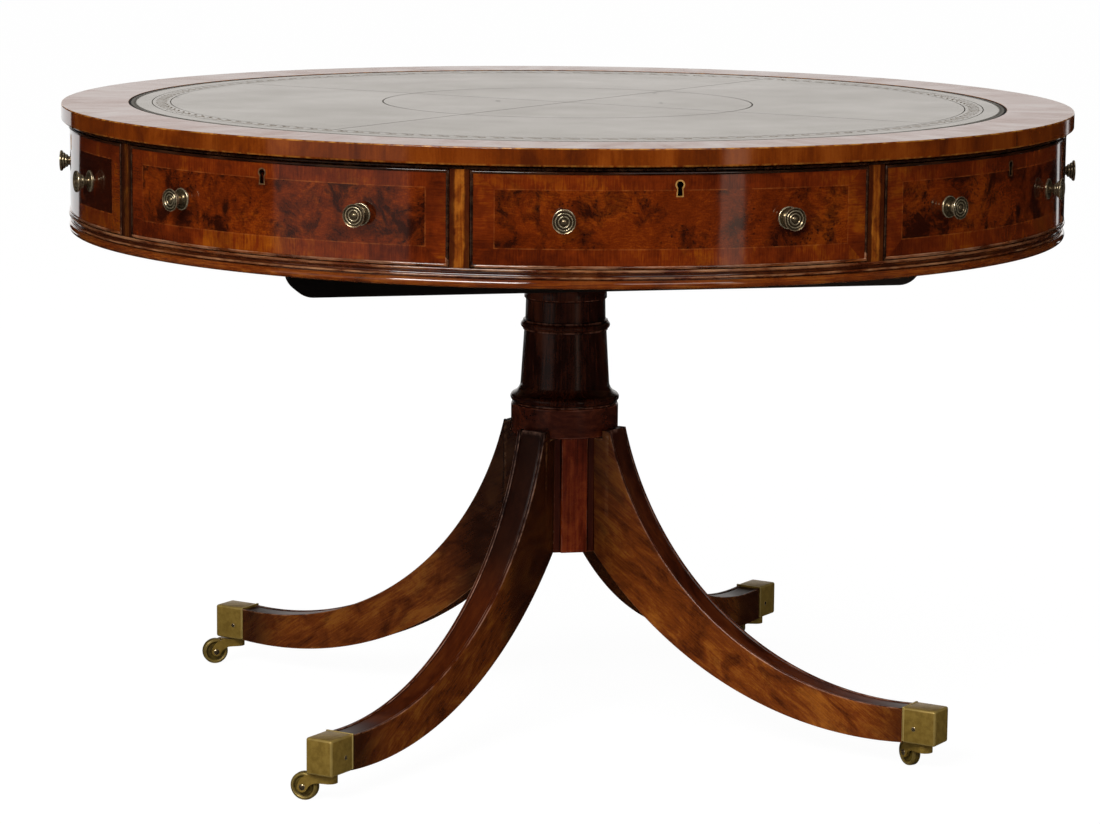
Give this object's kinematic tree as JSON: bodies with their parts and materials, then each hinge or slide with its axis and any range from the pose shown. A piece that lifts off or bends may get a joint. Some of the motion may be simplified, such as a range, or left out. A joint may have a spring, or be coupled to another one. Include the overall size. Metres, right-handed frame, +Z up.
{
  "type": "revolving drum library table",
  "caption": "Round pedestal writing table whose leather-topped drum revolves and holds drawers all round, on sabre legs with brass castors.",
  "frame": {"origin": "on the floor under the middle of the round top", "axes": "+Z up; the front drawer faces -Y and the right drawer +X; the pedestal stands turned 1.9 degrees anticlockwise, seen from above, against the drum"},
  "size_m": [1.22, 1.22, 0.762],
  "materials": {
    "polished_yew": "french polished, dark red-brown",
    "crossbanded_yew": "french polished crossbanding, amber-brown",
    "burr_yew": "french polished figured veneer with dark burrs",
    "drawer_lining": "plain planed cedar and oak",
    "ebonised_wood": "ebonised and waxed",
    "writing_leather": "grey-green hide, tooled in gilt, semi-matt",
    "brass": "aged brass",
    "iron": "plain iron"
  },
  "bodies": {
    "pedestal": {"column": "polished_yew", "leg_block": "polished_yew", "top_platform": "ebonised_wood", "pivot_pin": "iron", "bearers": "ebonised_wood", "cap_screws": "brass", "front_right_leg": "polished_yew", "front_right_toe_cap": "brass", "back_right_leg": "polished_yew", "back_right_toe_cap": "brass", "back_left_leg": "polished_yew", "back_left_toe_cap": "brass", "front_left_leg": "polished_yew", "front_left_toe_cap": "brass"},
    "drum": {"top_board": "polished_yew", "top_border": "crossbanded_yew", "leather_panel": "writing_leather", "drum_floor": "polished_yew", "base_moulding": "polished_yew", "upper_rail": "polished_yew", "stiles": "crossbanded_yew", "partitions": "drawer_lining", "dummy_knobs": "brass", "dummy_escutcheons": "brass", "front_right_dummy_front": "burr_yew", "back_right_dummy_front": "burr_yew", "back_left_dummy_front": "burr_yew", "front_left_dummy_front": "burr_yew"},
    "front_drawer": {"front_drawer_front": "burr_yew", "front_drawer_sides": "drawer_lining", "front_drawer_back": "drawer_lining", "front_drawer_bottom": "drawer_lining", "front_drawer_knobs": "brass", "front_drawer_lock": "brass"},
    "right_drawer": {"right_drawer_front": "burr_yew", "right_drawer_sides": "drawer_lining", "right_drawer_back": "drawer_lining", "right_drawer_bottom": "drawer_lining", "right_drawer_knobs": "brass", "right_drawer_lock": "brass"},
    "back_drawer": {"back_drawer_front": "burr_yew", "back_drawer_sides": "drawer_lining", "back_drawer_back": "drawer_lining", "back_drawer_bottom": "drawer_lining", "back_drawer_knobs": "brass", "back_drawer_lock": "brass"},
    "left_drawer": {"left_drawer_front": "burr_yew", "left_drawer_sides": "drawer_lining", "left_drawer_back": "drawer_lining", "left_drawer_bottom": "drawer_lining", "left_drawer_knobs": "brass", "left_drawer_lock": "brass"},
    "front_right_horn": {"front_right_castor_horn": "brass"},
    "front_right_wheel": {"front_right_castor_wheel": "brass"},
    "back_right_horn": {"back_right_castor_horn": "brass"},
    "back_right_wheel": {"back_right_castor_wheel": "brass"},
    "back_left_horn": {"back_left_castor_horn": "brass"},
    "back_left_wheel": {"back_left_castor_wheel": "brass"},
    "front_left_horn": {"front_left_castor_horn": "brass"},
    "front_left_wheel": {"front_left_castor_wheel": "brass"}
  },
  "joints": [
    {"name": "drum_revolve", "type": "hinge", "parent": "pedestal", "child": "drum", "pos_m": [0, 0, 0.62], "axis": [0, 0, 1], "continuous": true},
    {"name": "front_drawer_slide", "type": "slide", "parent": "drum", "child": "front_drawer", "axis": [0, -1, 0], "range_m": [0, 0.26]},
    {"name": "right_drawer_slide", "type": "slide", "parent": "drum", "child": "right_drawer", "axis": [1, 0, 0], "range_m": [0, 0.26]},
    {"name": "back_drawer_slide", "type": "slide", "parent": "drum", "child": "back_drawer", "axis": [0, 1, 0], "range_m": [0, 0.26]},
    {"name": "left_drawer_slide", "type": "slide", "parent": "drum", "child": "left_drawer", "axis": [-1, 0, 0], "range_m": [0, 0.26]},
    {"name": "front_right_castor_swivel", "type": "hinge", "parent": "pedestal", "child": "front_right_horn", "pos_m": [0.36618, -0.34266, 0.0336], "axis": [0, 0, 1], "continuous": true},
    {"name": "front_right_wheel_spin", "type": "hinge", "parent": "front_right_horn", "child": "front_right_wheel", "pos_m": [0.35671, -0.3142, 0.0165], "axis": [-0.9489, -0.3156, 0], "continuous": true},
    {"name": "back_right_castor_swivel", "type": "hinge", "parent": "pedestal", "child": "back_right_horn", "pos_m": [0.34266, 0.36618, 0.0336], "axis": [0, 0, 1], "continuous": true},
    {"name": "back_right_wheel_spin", "type": "hinge", "parent": "back_right_horn", "child": "back_right_wheel", "pos_m": [0.31355, 0.37343, 0.0165], "axis": [-0.2419, -0.9703, 0], "continuous": true},
    {"name": "back_left_castor_swivel", "type": "hinge", "parent": "pedestal", "child": "back_left_horn", "pos_m": [-0.36618, 0.34266, 0.0336], "axis": [0, 0, 1], "continuous": true},
    {"name": "back_left_wheel_spin", "type": "hinge", "parent": "back_left_horn", "child": "back_left_wheel", "pos_m": [-0.39599, 0.33932, 0.0165], "axis": [0.1115, -0.9938, 0], "continuous": true},
    {"name": "front_left_castor_swivel", "type": "hinge", "parent": "pedestal", "child": "front_left_horn", "pos_m": [-0.34266, -0.36618, 0.0336], "axis": [0, 0, 1], "continuous": true},
    {"name": "front_left_wheel_spin", "type": "hinge", "parent": "front_left_horn", "child": "front_left_wheel", "pos_m": [-0.36864, -0.35118, 0.0165], "axis": [-0.5, -0.866, 0], "continuous": true}
  ]
}
